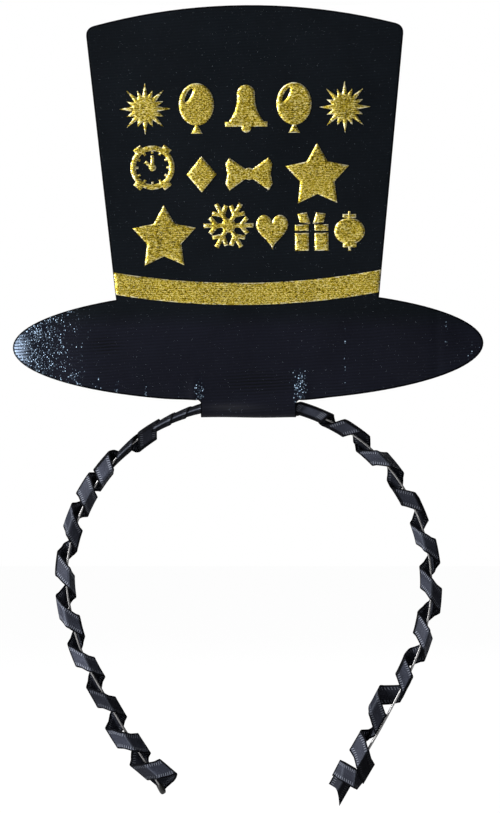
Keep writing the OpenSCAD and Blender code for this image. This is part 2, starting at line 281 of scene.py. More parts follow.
def ring_sides(verts, rings):
    """For each outline, 1 if the sheet lies to its left or else -1, and its normals away from the sheet."""
    sides = []
    for ring in rings:
        outline = verts[ring]
        others = [verts[other] for other in rings if other is not ring]
        is_hole = inside_loops(outline[:1] + 1e-4, others)[0]
        sign = (1 if signed_area(outline) > 0 else -1) * (-1 if is_hole else 1)
        sides.append((sign, sign * outline_normals(outline)))
    return sides


def rim_profile(front, back, edge, bulge, steps):
    """Depth and inward shift at each step round a rounded rim, from the front to the back."""
    profile = []
    for k in range(1, 2 * steps):
        angle = (k if k <= steps else k - steps) / steps * math.pi / 2
        rise, run = edge * (1 - math.cos(angle)), edge * (1 - math.sin(angle))
        depth, shift = (front + rise, run) if k <= steps else (back - run, rise)
        swell = bulge * math.sin(min(k, 2 * steps - k) / steps * math.pi / 2)
        profile.append((depth, shift - swell))
    return profile


def slab(name, loops, step, front, back, place, edge, bulge=0.0, crown=None, rim_steps=3):
    """A closed sheet with rounded edges. place turns (x, z, y) into space. crown adds height to the front,
    whose points are marked with their rise and their distance from the border."""
    verts, faces, rings = triangulate(loops, step)
    sides = ring_sides(verts, rings)
    total = len(verts)
    height = np.zeros(total) if crown is None else crown(verts)
    pulled = verts.copy()
    for ring, (_, normals) in zip(rings, sides):
        pulled[ring] = verts[ring] - normals * edge
    points = [place(pulled[:, 0], pulled[:, 1], y) for y in (front - height, np.full(total, back))]
    sheet = []
    for f in faces:
        a, b, c = verts[f]
        turn = (b[0] - a[0]) * (c[1] - a[1]) - (b[1] - a[1]) * (c[0] - a[0])
        ccw = f if turn > 0 else f[::-1]
        sheet += [ccw, [total + v for v in ccw[::-1]]]
    count = 2 * total
    for ring, (sign, normals) in zip(rings, sides):
        n = len(ring)
        layers = [ring]
        for depth, shift in rim_profile(front, back, edge, bulge, rim_steps):
            moved = verts[ring] - normals * shift
            points.append(place(moved[:, 0], moved[:, 1], np.full(n, depth)))
            layers.append(list(range(count, count + n)))
            count += n
        layers.append([total + v for v in ring])
        for upper, lower in zip(layers, layers[1:]):
            for i in range(n):
                j = (i + 1) % n
                quad = [upper[i], lower[i], lower[j], upper[j]]
                sheet.append(quad if sign > 0 else quad[::-1])
    obj = make_object(name, np.concatenate(points), sheet)
    for label, values in (("rise", height), ("border", distance_to(verts, loops))):
        mark(obj, label, np.concatenate([values, np.zeros(count - total)]))
    return obj


HAT_ROLL = math.radians(0.6)


def panel_place(x, z, y):
    """A point of the hat panel: bowed, and rolled a touch to the left above its tab."""
    free = np.maximum(smooth(0, 9, z), smooth(20, 30, np.abs(x))) * HAT_ROLL
    return np.column_stack([x - z * free, y + drape(x, z), z + x * free])


# ---- The face fabric with its tab, and the layers behind it ----

FACE_STEP = 1.35
# The tab's corners at the brim are eased by this much
TAB_EASE = 0.8
# Nothing behind the face comes lower than this inside the tab's loop, so that it stays clear of the headband
BACKING_FOOT_Z = 3.2


def tab_place(x, z, y):
    """The face: flat above the loop's axis, then round the loop, up its back wall and into the flap."""
    off = -(y - (FACE_FRONT + FABRIC_T / 2))
    far = LOOP_Z - z
    wave = 0.1 * np.sin(x * 0.21 + 0.6) * smooth(0, 4, far) * smooth(ARC_LEN, ARC_LEN - 5, far)
    phi = math.pi + np.clip(far, 0, ARC_LEN) / LOOP_MID
    r = LOOP_MID + off + wave
    ring = np.column_stack([x, r * np.cos(phi), LOOP_Z + r * np.sin(phi)])
    up = far - ARC_LEN
    along_wall = np.array([0, -math.sin(WALL_ANGLE), math.cos(WALL_ANGLE)])
    # The bend from the wall into the flap is shared between both directions
    bend = smooth(WALL_LEN - 1.5, WALL_LEN + 1.5, up)[:, None]
    step = np.clip(up, 0, None)
    wall = ring + np.minimum(step, WALL_LEN)[:, None] * along_wall
    flap = np.column_stack([x, FLAP_BACK - FABRIC_T / 2 + off, WALL_END_Z + step - WALL_LEN])
    late = wall * (1 - bend) + flap * bend
    round_loop = np.where((up > 0)[:, None], late, ring)
    return np.where((far > 0)[:, None], round_loop, panel_place(x, z, y))


def face_fabric():
    """The face with its tab as one flat cut outline, which tab_place then folds."""
    (outline,) = [loop for loop in face_loops("front_fabric", FACE_FRONT) if len(loop) > 30]
    if signed_area(outline) < 0:
        outline = outline[::-1]
    x, z = outline[:, 0], outline[:, 1]
    low = z < 3
    behind_tab = (np.abs(x) < TAB_HALF + TAB_EASE) & low
    # The outline starts just right of the tab, so that the part the tab hides is one run
    first = int(np.argmax(np.where(behind_tab, x, -1e9)))
    kept = np.roll(outline, -(first + 1), axis=0)[~np.roll(behind_tab, -(first + 1))]
    right = low & (x > 0)
    brim_z = np.interp(TAB_HALF, x[right], z[right])
    foot = LOOP_Z - (ARC_LEN + WALL_LEN + FLAP_TOP - WALL_END_Z)
    left = [[-TAB_HALF - TAB_EASE, brim_z + 0.05], [-TAB_HALF, brim_z - 0.7],
            [-TAB_HALF + 0.4, foot + 0.6], [-TAB_HALF + 1.2, foot]]
    cut = np.concatenate([kept, left, [[-x, z] for x, z in left[::-1]]])
    back = FACE_FRONT + FABRIC_T
    return slab("hat_face_fabric", [resample(cut, 1.1)], FACE_STEP, FACE_FRONT, back, tab_place, edge=0.17)


def backing(name, node, edge, bulge, step):
    """A layer behind the face, on the node's own outline."""
    low, high = box_mm(node)
    outline = resample(max(face_loops(node, low[1]), key=len), 1.3)
    near_tab = np.abs(outline[:, 0]) < TAB_HALF + 0.4
    outline[near_tab, 1] = np.maximum(outline[near_tab, 1], BACKING_FOOT_Z)
    return slab(name, [outline], step, low[1], high[1], panel_place, edge=edge, bulge=bulge)


# ---- Gold foil ----

SERRATION = 0.75
FOIL_STEP = 0.55
FOIL_RIM = 0.75
FOIL_LIFT = 0.42


def serrate(loop):
    """Steps the outline where the fabric's ribs lift it."""
    n = outline_normals(loop)
    wave = np.clip(1.6 * np.sin(2 * math.pi * loop[:, 1] / SERRATION), -1, 1)
    moved = loop.copy()
    moved[:, 0] += 0.07 * wave * np.abs(n[:, 0]) * np.sign(n[:, 0])
    return moved


def foil_piece(node):
    """A puffed foil shape with a round rim, on the node's own outline."""
    low, high = box_mm(node)
    loops = [serrate(resample(loop, 0.3)) for loop in face_loops(node, low[1]) if len(loop) > 2]

    def crown(points):
        d = np.clip(distance_to(points, loops) / FOIL_RIM, 0, 1)
        dome = np.sqrt(1 - (1 - d) ** 2)
        grain = 0.035 * ripple(points[:, 0], points[:, 1], 1.9, 7)
        return FOIL_LIFT * dome * (1 + grain)

    name = "gold_" + node.removeprefix("foil_")
    front, back = low[1] + 0.28, high[1] + 0.05
    return slab(name, loops, FOIL_STEP, front, back, panel_place, edge=0.06, crown=crown, rim_steps=2)


# ---- Headband ----

STEEL_HALF_T = 0.38
STEEL_CORNER = 0.26


def at_band(s, depth, out):
    """Points beside the band at arc length s from the crown, negative to the left. Both legs lean right."""
    s, depth, out = np.broadcast_arrays(np.asarray(s, float), depth, out)
    a = np.sign(s) * np.minimum(np.abs(s), ARC_END) / BAND_R
    e = np.sign(s) * np.maximum(np.abs(s) - ARC_END, 0)
    r = BAND_R + out
    lean = 1.4 * smooth(122, 160, s) + smooth(95, 115, -s) + smooth(155, 175, -s)
    x = r * np.sin(a) + e * np.cos(a) + lean
    return np.stack([x, depth, r * np.cos(a) - BAND_R - e * np.sin(a)], axis=-1)


def tube_faces(rows, cols):
    """Quads over rows x cols points, with the columns joined into a ring."""
    here = np.arange(rows * cols).reshape(rows, cols)
    beside = np.roll(here, -1, axis=1)
    return np.stack([here[:-1], beside[:-1], beside[1:], here[1:]], -1).reshape(-1, 4).tolist()


def tube(name, side, sections, uv=None):
    """A closed tube through rings of points along one arm of the band."""
    rows, cols = len(sections), len(sections[0])
    faces = tube_faces(rows, cols)
    faces += [list(range(cols))[::-1], list(range((rows - 1) * cols, rows * cols))]
    if side > 0:
        faces = [f[::-1] for f in faces]
    return make_object(name, np.concatenate(sections), faces, uv=uv)


def steel_half(name, side, start):
    """Half of the steel strip, with eased edges."""
    t = np.radians([90 * corner + a for corner in range(4) for a in (0, 30, 60, 90)])
    right, top = np.repeat([1, -1, -1, 1], 4), np.repeat([1, 1, -1, -1], 4)
    depth = right * (STRIP_DEPTH / 2 - STEEL_CORNER) + STEEL_CORNER * np.cos(t)
    out = top * (STEEL_HALF_T - STEEL_CORNER) + STEEL_CORNER * np.sin(t)
    stations = np.append(np.arange(start, TIP_S, 0.9), TIP_S - 0.02)
    uv = np.column_stack([np.repeat(stations, len(t)), np.tile(depth, len(stations))])
    return tube(name, side, [at_band(side * s, depth, out) for s in stations], uv)


# ---- Ribbon ----

RIBBON_W = 6.35
RIBBON_T = 0.34
# Half columns across the ribbon, as shares of its half width, and all its columns
HALF_COLS = (0.2, 0.4, 0.62, 0.82, 0.9, 0.97, 1)
RIBBON_COLS = np.array([-c for c in HALF_COLS[::-1]] + [0, *HALF_COLS]) * RIBBON_W / 2
WRAP_HALF = 2.62
TIGHT_DEPTH = STRIP_DEPTH / 2 + 0.1
TIGHT_OUT = 0.95
LOOSE_PITCH = 16
CROWN_TURN = 0.93 * LOOSE_PITCH
TIGHT_TURNS = 10
# The ribbon crosses the band at a slant, so that it covers this much band for each millimetre of its width
SLANT_SPAN = 1.28
# Share of a turn's advance that falls on the outer, back, inner and front sides
SIDE_SHARES = (0.18, 0.32, 0.18, 0.32)
TABLE_STEP = 0.05
# Where the last strand on the left lies, and how far inward of the steel it turns about
LAST_LEFT_S = 173.6
LAST_LEFT_IN = 1.5
# The lie of each front strand: where it is along its arm, how many degrees its square is turned (more than 0
# shows the outer side), how far it hangs outward of the steel, how open it is (0 is tight, 1 is loose), its
# relative size, and how much painted shade its satin gets (0 is none, full sheen)
LIE_RIGHT = (
    (10, 0, 0, 0, 1, 0.3),
    (16.5, 0, -1.0, 1, 0.42, 0.4),
    (22.6, 0, 0.4, 1, 0.77, 0.4),
    (36.5, 0, 0.3, 1, 1, 0.45),
    (51.3, 28, -0.4, 1, 1, 0.3),
    (70.7, 3, -0.3, 1, 1.14, 0.6),
    (87.9, -28, 0, 1, 1, 0.25),
    (103.6, -45, 0, 1, 1.04, 0.35),
    (122.0, -68, -0.4, 1, 1.04, 0.05),
    (138.3, -88, -1.2, 1, 1.08, 0.15),
    (154.0, -105, -3.9, 1, 1.12, 0.6),
    (168.6, -136, -0.4, 1, 1.42, 0.32),
    (182, -138, -0.4, 1, 1, 0),
)
LIE_LEFT = (
    (17, 0, 0, 0, 1, 0),
    (33, 0, 0, 0, 1, 0),
    (37.5, 5, -0.9, 1, 0.95, 0.85),
    (47.9, 0, 0, 0, 1, 0.2),
    (58.6, -10, 0.5, 1, 1, 0),
    (68.5, -35, 0.8, 1, 1, 0.3),
    (80.9, -65, 0.7, 1, 1, 0.45),
    (96.7, -20, 0.6, 1, 1, 0.1),
    (113.8, -68, 0.7, 1, 1.05, 0),
    (128.3, -40, 0.2, 1, 1, 0),
    (145.9, -35, 0.6, 1, 1, 0.7),
    (160.7, -42, 1.2, 1, 1.2, 0.25),
    (LAST_LEFT_S, -56, -0.7, 1, 1.2, 0.1),
)
TWIST, HANG, OPEN, SIZE, PAINTED_SHADE = 1, 2, 3, 4, 5


def lie(s, column):
    """One value of the lie at arc length s, held level across each front strand and eased on its back."""
    s = np.asarray(s, float)
    total = np.zeros(s.shape)
    for keys, arm in ((LIE_RIGHT, s >= 0), (LIE_LEFT, s < 0)):
        value = np.full(s.shape, float(keys[0][column]))
        for (d1, *_), (d2, *_), change in zip(keys, keys[1:], np.diff([k[column] for k in keys])):
            hold = 0.3 * (d2 - d1)
            value = value + change * smooth(d1 + hold, d2 - hold, np.abs(s))
        total = np.where(arm, value, total)
    return total


def pitch(s):
    """Band length that one turn takes at arc length s."""
    crown = np.where(s > FLEX_S - CROWN_TURN, CROWN_TURN, (2 * FLEX_S - CROWN_TURN) / TIGHT_TURNS)
    left = LOOSE_PITCH * (0.62 + 0.38 * smooth(60, 88, -s) - 0.2 * smooth(158, 166, -s))
    right = LOOSE_PITCH * (1 + 0.16 * np.exp(-((s - 62) / 14) ** 2) + 0.035 * smooth(85, 105, s))
    return np.where(s < -FLEX_S, left, np.where(s > FLEX_S, right, crown))


def turn_table():
    """Arc lengths along the band, with the ribbon's own turn count at each."""
    s = np.arange(-TIP_S - 20, TIP_S + 20, TABLE_STEP)
    even = np.concatenate([[0], np.cumsum(TABLE_STEP / pitch(s[:-1] + TABLE_STEP / 2))])
    even -= np.interp(FLEX_S, s, even)
    marks = np.concatenate([[0], np.cumsum(SIDE_SHARES)])
    whole = np.arange(math.floor(even[0]) - 1, math.ceil(even[-1]) + 1)
    quarter_at = (whole[:, None] + np.arange(4) / 4).ravel()
    advance_at = (whole[:, None] + marks[None, :4]).ravel() + 0.035
    return s, np.interp(even, advance_at, quarter_at) + lie(s, TWIST) / 360


TABLE_S, TABLE_TURN = turn_table()


def square_path(quarter_turns, half_d, half_n, radius):
    """Place, outward normal, distance to the nearest corner, share of the side, and the side and its nearest
    neighbour, on a rounded square counted in quarter turns from its outer side."""
    quarter = np.floor(quarter_turns + 1e-9)
    t = quarter_turns - quarter
    k = quarter.astype(int) % 4
    along = np.array([[1, 0], [0, -1], [-1, 0], [0, 1]])[k]
    normal = np.array([[0, 1], [1, 0], [0, -1], [-1, 0]])[k]
    corner = np.array([[-1, 1], [1, 1], [1, -1], [-1, -1]])[k] * np.stack([half_d, half_n], -1)
    length = np.where(k % 2 == 0, 2 * half_d, 2 * half_n)
    r = np.minimum(radius, 0.45 * length)
    d1 = t * length
    d2 = length - d1
    angle = np.where(d1 < r, d1 / r - 1, np.where(d2 < r, 1 - d2 / r, 0)) * math.pi / 4
    centre = corner + along * np.clip(d1, r, length - r)[..., None] - normal * r[..., None]
    outward = normal * np.cos(angle)[..., None] + along * np.sin(angle)[..., None]
    beside = np.where(d1 < d2, k - 1, k + 1) % 4
    return centre + outward * r[..., None], outward, np.minimum(d1, d2), t, k, beside


def of_side(values, side):
    """Picks each point's own value out of those of the square's four sides."""
    return np.take_along_axis(np.stack(values, -1), side[..., None], -1)[..., 0]


def wrap_marks(s, loose, twist, corner, t, k, beside):
    """Painted highlights on creases and painted shade on the wrap."""
    c, sn = np.cos(twist), np.sin(twist)
    # A corner between two sides that face the front gets a painted highlight; the other corners get painted
    # shade
    faces_front = (sn, -c, -sn, c)
    highlight_share = smooth(0.05, 0.25, np.minimum(of_side(faces_front, k), of_side(faces_front, beside)))
    # On tight turns a line down the middle of the front and back gets a painted highlight, the rest painted
    # shade
    middle = (k % 2) * np.exp(-((t - 0.5) * 7) ** 2)
    pale = loose * highlight_share * np.exp(-(corner / 0.3) ** 2) + (1 - loose) * middle
    dark = loose * (1 - highlight_share) * (1 - smooth(0.55, 0.95, corner))
    dark = dark + 0.93 * (1 - loose) * (1 - smooth(0.3, 0.9, middle))
    # Sides that face right get painted shade, but on the last turn on the left it's those that face left
    right = of_side((c, sn, -c, -sn), k) * np.sin(np.clip(s / BAND_R, -HALF_ANGLE, HALF_ANGLE))
    right = right * (1 - 2 * smooth(164, 168, -s))
    much = 0.5 + 0.45 * smooth(158, 163, s) + 0.2 * smooth(164, 168, -s)
    side_shade = much * loose * smooth(0.2, 0.6, right)
    return pale, 1 - (1 - dark) * (1 - lie(s, PAINTED_SHADE)) * (1 - side_shade)


def wrap_section(turn, s, skin):
    """Depth and outward places, painted highlights and painted shade, on the wrap whose middle is at arc
    length s.
    """
    loose, size = lie(s, OPEN), lie(s, SIZE)
    half_d = (TIGHT_DEPTH + (WRAP_HALF - TIGHT_DEPTH) * loose) * size
    half_n = (TIGHT_OUT + (WRAP_HALF - TIGHT_OUT) * loose) * size
    place, outward, corner, t, k, beside = square_path(4 * turn, half_d, half_n, 0.75)
    # Tight turns have a ridge along the front and back; loose ones bow gently
    ridge = 0.8 * (1 - loose) * (1 - np.abs(2 * t - 1)) * (k % 2)
    bow = 0.1 * loose * np.sin(math.pi * t) * np.sin(np.floor(4 * turn) * 2.3 + 1)
    place = place + outward * (skin + ridge + bow)[..., None]
    twist = np.radians(lie(s, TWIST))
    depth = place[..., 0] * np.cos(twist) - place[..., 1] * np.sin(twist)
    out = place[..., 0] * np.sin(twist) + place[..., 1] * np.cos(twist)
    pale, dark = wrap_marks(s, loose, twist, corner, t, k, beside)
    return depth, out + lie(s, HANG), pale, dark


def strip_mesh(name, outer, inner, uv, crease, shade=0.0):
    """A closed strip between two skins of rows x columns of points, marked for painted highlights and
    painted shade.
    """
    rows, n = outer.shape[:2]
    ring = np.concatenate([outer, inner[:, ::-1]], axis=1)
    both = np.concatenate([uv, uv[:, ::-1]], axis=1)
    faces = [f[::-1] for f in tube_faces(rows, 2 * n)]
    first = [[i, i + 1, 2 * n - 2 - i, 2 * n - 1 - i] for i in range(n - 1)]
    faces += first + [[(rows - 1) * 2 * n + i for i in f[::-1]] for f in first]
    obj = make_object(name, ring.reshape(-1, 3), faces, uv=both.reshape(-1, 2))
    # The crease mark holds painted highlights and the under mark painted shade; the inner skin has no
    # highlights and always gets fairly strong painted shade
    mark(obj, "crease", np.concatenate([crease, 0 * crease], axis=1).ravel())
    mark(obj, "under", np.concatenate([0 * crease + shade, 0 * crease + 0.6], axis=1).ravel())
    return obj


def edge_profile(v):
    """Thickness of the grosgrain across its width, with a fuller selvedge."""
    x = np.abs(v) * 2 / RIBBON_W
    return RIBBON_T * (1 - 0.5 * smooth(0.93, 1.0, x)) + 0.05 * smooth(0.84, 0.9, x)


def end_turn(s, depth, out, s_row):
    """The last turn on the left lies squarer across the strip, and its end is tucked under the tip."""
    angle = math.radians(19) * smooth(166, 170, -s_row)
    along, across = -LAST_LEFT_S - s, out + LAST_LEFT_IN
    turned_s = -LAST_LEFT_S - along * np.cos(angle) - across * np.sin(angle)
    turned_out = across * np.cos(angle) - along * np.sin(angle) - LAST_LEFT_IN
    tuck = smooth(178, TIP_S + 2.5, -s_row)
    return turned_s + 4.5 * tuck, depth, turned_out + 3 * tuck


def ribbon_turns(s_from, s_to):
    """Turn counts of the ribbon's rows from one arc length to another, closer together at the creases."""
    u0, u1 = np.interp([s_from, s_to], TABLE_S, TABLE_TURN)
    share = np.concatenate([[0, 0.02, 0.045, 0.075], np.linspace(0.11, 0.89, 15), [0.925, 0.955, 0.98]])
    quarters = np.arange(math.floor(4 * u0), math.ceil(4 * u1))
    turns = (quarters[:, None] + share[None]).ravel() / 4
    return turns[(turns >= u0) & (turns <= u1)]


def ribbon_strip(name, s_from, s_to):
    """Grosgrain wound from one arc length to another, creased where it turns a corner of the wrap."""
    turns = ribbon_turns(s_from, s_to)
    v = np.broadcast_to(RIBBON_COLS, (len(turns), len(RIBBON_COLS)))
    s_mid = np.interp(turns, TABLE_TURN, TABLE_S)[:, None]
    turn = np.broadcast_to(turns[:, None], v.shape)
    # The first loose strand on the right lies flatter along the band, so it covers more of it
    flat = np.exp(-((s_mid - 21.5) / 3.5) ** 2) + 0.3 * np.exp(-((s_mid - 59) / 2.5) ** 2)
    s = s_mid + v * SLANT_SPAN * (1 + 0.45 * flat) + flat * smooth(0, 3, v)
    s_row = np.broadcast_to(s_mid, v.shape)
    loose = lie(s_mid, OPEN)
    perimeter = 4 * (TIGHT_DEPTH + TIGHT_OUT + (2 * WRAP_HALF - TIGHT_DEPTH - TIGHT_OUT) * loose)
    steps = np.hypot(np.diff(turns) * perimeter[1:, 0], np.diff(s_mid[:, 0]))
    length = np.concatenate([[0], np.cumsum(steps)])[:, None] + 0.76 * v
    flutter = 0.06 * np.sin(length * 0.9) * (np.abs(v) * 2 / RIBBON_W) ** 2 * loose
    # Tight turns overlap like shingles
    lapped = 0.45 * (0.5 + v / RIBBON_W) * (1 - loose)
    middle = 0.05 + RIBBON_T / 2 + flutter + lapped
    half = edge_profile(v) / 2
    depth_o, out_o, pale, dark = wrap_section(turn, s_row, middle + half)
    depth_i, out_i, _, _ = wrap_section(turn, s_row, middle - half)
    outer = at_band(*end_turn(s, depth_o, out_o, s_row))
    inner = at_band(*end_turn(s, depth_i, out_i, s_row))
    return strip_mesh(name, outer, inner, np.stack([length, v], -1), pale, dark)


# ---- Ribbon end, caps and glue ----

# Corners of the folded end, going round it: depth and outward place at its upper edge, then its lower edge
END_CORNERS = np.array([
    [[-1.7, -6.3], [-1.3, -6.0]], [[-3.4, -5.1], [-3.7, -2.9]], [[-3.9, -0.3], [-3.7, 2.2]],
    [[-0.6, 4.4], [-0.4, 3.4]], [[2.9, 2.4], [2.9, 2.8]], [[3.0, -4.2], [3.0, -4.0]],
])
END_ROWS = 26
END_LIFT = 4.6
TAIL_RIDGE = -2.4
TAIL_START = -2.2


def thicken(mid, thick):
    """Both skins of a sheet of points, along its normals."""
    n = np.cross(np.gradient(mid, axis=0), np.gradient(mid, axis=1))
    n /= np.maximum(np.linalg.norm(n, axis=-1), 1e-9)[..., None]
    half = np.asarray(thick)[..., None] / 2
    return mid + n * half, mid - n * half


def end_wrap():
    """The last turn of ribbon, folded round the right tip a little more than once."""
    corners = np.concatenate([END_CORNERS[-1:], END_CORNERS, END_CORNERS[:1]])
    share = np.linspace(0, 1, END_ROWS, endpoint=False)[:, None, None]
    path = np.concatenate([a + (b - a) * share for a, b in zip(corners, corners[1:])])
    soft = np.stack([path[i:len(path) - 4 + i] for i in range(5)]).mean(0)
    to_corner = np.abs((np.arange(len(soft)) + 2 + END_ROWS / 2) % END_ROWS - END_ROWS / 2)
    crease = np.exp(-(to_corner / END_ROWS * 5.5 / 0.5) ** 2)
    v = np.broadcast_to(RIBBON_COLS, (len(soft), len(RIBBON_COLS)))
    down = (0.5 + v / RIBBON_W)[..., None]
    grow = 1 + 0.11 * np.linspace(0, 1, len(soft))[:, None]
    place = soft[:, None, 0] * (1 - down) + soft[:, None, 1] * down
    mid = at_band(TIP_S - END_LIFT + v, place[..., 0] * grow, place[..., 1] * grow)
    steps = np.linalg.norm(np.diff(mid[:, len(HALF_COLS)], axis=0), axis=1)
    length = np.concatenate([[0], np.cumsum(steps)])[:, None] + 0 * v
    inner, outer = thicken(mid, edge_profile(v))
    facing = (outer - inner) / np.linalg.norm(outer - inner, axis=-1)[..., None]
    front = -facing[..., 1]
    # Sides facing the front get painted sheen, less where they face right, and the rest painted shade
    sheen = 0.72 * smooth(-0.05, 0.25, front) * (1 - 0.85 * smooth(0.15, 0.4, facing[..., 0]))
    # Creases that face the front get painted highlights
    pale = crease[:, None] * smooth(0.3, 0.6, front)
    return strip_mesh("ribbon_end_wrap", outer, inner, np.stack([length, v], -1), pale, 1 - sheen)


def end_tail():
    """The cut end of the ribbon, creased down its length, with a slanted hollow cut."""
    v = RIBBON_COLS[None, :]
    share = np.linspace(0, 1, 24)[:, None]
    out = -2.5 + v * 1.12
    cut = 1.7 + 4.3 * np.clip((out + 3.5) / 4.2, 0, 1.2) ** 1.5
    along = TAIL_START + share * (cut - TAIL_START)
    none = 0 * along
    fall = 0.42 * np.maximum(TAIL_RIDGE - out, 0) + 0.25 * np.maximum(out - TAIL_RIDGE, 0)
    depth = -3.5 + fall - 0.1 * along
    mid = at_band(TIP_S + along, depth, out + none)
    outer, inner = thicken(mid, edge_profile(v) + none)
    # A painted highlight along the crease, and painted shade over the tail, deeper right of the crease
    pale = np.exp(-((out - TAIL_RIDGE) / 0.4) ** 2) + none
    dark = 0.6 + 0.37 * (out > TAIL_RIDGE) + none
    return strip_mesh("ribbon_end_tail", outer, inner, np.stack([along, v + none], -1), pale, dark)


def lump(name, side, stations, half_d, half_n, power):
    """A closed, rounded lump along the band: stations give arc length and scale."""
    a = 2 * math.pi * np.arange(36) / 36
    c, sn = np.cos(a), np.sin(a)
    sections = []
    for s, scale in stations:
        wobble = 1 + 0.03 * np.sin(3 * a + s)
        depth = np.sign(c) * np.abs(c) ** power * half_d * scale * wobble
        out = np.sign(sn) * np.abs(sn) ** power * half_n * scale * wobble
        sections.append(at_band(side * s, depth, out))
    return tube(name, side, sections)


def tip_cap(name, side):
    """A dipped vinyl cap with a domed nose."""
    end = TIP_S + (1.0 if side < 0 else -0.5)
    sleeve = [(-2.4, 0.8), (-2.3, 0.9), (-2.0, 0.97), (-1.2, 1.0)]
    turned = [math.radians(a) for a in range(0, 90, 12)]
    nose = [(1.3 * math.sin(a), 0.35 + 0.65 * math.cos(a)) for a in turned]
    stations = [(end + d, scale) for d, scale in sleeve + nose]
    return lump(name, side, stations, STRIP_DEPTH / 2 + 0.35, 1.15, 0.75)


def glue_dab(name, side):
    """A flattened dab of glue round the strip."""
    centre = TIP_S - (7 if side < 0 else 5)
    turned = [math.radians(a) for a in range(-84, 85, 12)]
    stations = [(centre + 1.8 * math.sin(a), math.cos(a)) for a in turned]
    return lump(name, side, stations, 1.8, 1.3, 0.85)


def glue_film():
    """The film of glue that holds the tab's flap inside the hat."""
    low, high = box_mm("tab_glue")
    xs = np.linspace(low[0] + 0.6, high[0] - 0.6, 60)
    zs = np.linspace(low[2] + 0.5, high[2] - 0.5, 24)
    x, z = np.meshgrid(xs, zs, indexing="ij")
    spread = 0.5 * np.sin(x * 0.9) * smooth(high[2] - 3, high[2], z)
    thick = 0.08 + 0.02 * ripple(x, z, 6, 3)
    middle = (low[1] + high[1]) / 2
    outer, inner = [np.stack([x, middle + y, z + spread], -1) for y in (-thick, thick)]
    return strip_mesh("tab_glue_film", outer, inner, np.stack([x, z], -1), 0 * x)


# ---- Materials ----

class Look:
    """A procedural material, built node by node around one Principled shader. The inputs given are the
    shader's, with _ for each space."""

    def __init__(self, name, **inputs):
        self.material = bpy.data.materials.new(name)
        self.material.use_nodes = True
        self.tree = self.material.node_tree
        self.shader = self.tree.nodes["Principled BSDF"]
        for key, value in inputs.items():
            self.shader.inputs[key.replace("_", " ")].default_value = value

    def to(self, source, name):
        self.tree.links.new(source, self.shader.inputs[name])

    def node(self, kind, *values, **settings):
        """Adds a node, whose inputs take links or plain values in order. None leaves an input alone."""
        made = self.tree.nodes.new("ShaderNode" + kind)
        for key, value in settings.items():
            setattr(made, key, value)
        for socket, value in zip(made.inputs, values):
            self.put(socket, value)
        return made

    def put(self, socket, value):
        if isinstance(value, bpy.types.NodeSocket):
            self.tree.links.new(value, socket)
        elif value is not None:
            socket.default_value = value

    def place(self):
        """The piece's own place, in millimetres."""
        coord = self.node("TexCoord").outputs["Object"]
        scaled = self.node("VectorMath", coord, operation="SCALE")
        scaled.inputs["Scale"].default_value = 1 / MM
        return scaled.outputs[0]

    def strip(self):
        """Place along and across a ribbon or strip, in millimetres."""
        return self.node("UVMap", uv_map="strip").outputs[0]

    def mark(self, name):
        """A number that the mesh holds at each point."""
        return self.node("Attribute", attribute_name=name).outputs["Fac"]

    def facing(self):
        """0 where the surface faces the viewer, 1 where it is seen edge-on."""
        return self.node("LayerWeight").outputs["Facing"]

    def split(self, source, kind="XYZ"):
        return self.node("Separate" + kind, source).outputs

    def noise(self, source, scale, detail=3.0, rough=0.55):
        """Noise with this many lumps for each millimetre, or one number for each direction."""
        if isinstance(scale, tuple):
            source = self.node("VectorMath", source, scale, operation="MULTIPLY").outputs[0]
            scale = 1.0
        made = self.node("TexNoise", source)
        for name, value in (("Scale", scale), ("Detail", detail), ("Roughness", rough)):
            made.inputs[name].default_value = value
        return made.outputs[0]

    def cells(self, source, scale, **settings):
        made = self.node("TexVoronoi", source, feature="F1", **settings)
        made.inputs["Scale"].default_value = scale
        return made.outputs

    def math(self, operation, *values):
        return self.node("Math", *values, operation=operation).outputs[0]

    def times(self, a, b):
        return self.math("MULTIPLY", a, b)

    def fit(self, a, scale, offset):
        """a times scale, plus offset."""
        return self.math("MULTIPLY_ADD", a, scale, offset)

    def most(self, first, *others):
        for other in others:
            first = self.math("MAXIMUM", first, other)
        return first

    def waves(self, source, length):
        """Even waves of this length, from -1 to 1."""
        return self.math("SINE", self.times(source, 2 * math.pi / length))

    def ramp(self, source, *stops):
        """A value or colour through stops of (position, grey or rgb)."""
        made = self.node("ValToRGB", source)
        ramp = made.color_ramp
        while len(ramp.elements) < len(stops):
            ramp.elements.new(0.5)
        for element, (at, value) in zip(ramp.elements, stops):
            rgb = value if isinstance(value, tuple) else (value,) * 3
            element.position = at
            element.color = (*rgb, 1)
        return made.outputs[0]

    def spread(self, source, low, high):
        """Two tints or values over the usual range of noise."""
        return self.ramp(source, (0.3, low), (0.7, high))

    def mix(self, share, a, b):
        """Colour a where share is 0 and b where it is 1."""
        made = self.node("Mix", share, data_type="RGBA")
        for socket, value in ((made.inputs[6], a), (made.inputs[7], b)):
            self.put(socket, (*value, 1) if isinstance(value, tuple) else value)
        return made.outputs[2]

    def bump(self, *layers):
        """Bump from (height, strength, distance in millimetres) layers, one on top of another."""
        last = None
        for height, strength, distance in layers:
            made = self.node("Bump")
            for name, value in (("Strength", strength), ("Distance", distance * MM), ("Height", height),
                                ("Normal", last)):
                self.put(made.inputs[name], value)
            last = made.outputs[0]
        self.to(last, "Normal")


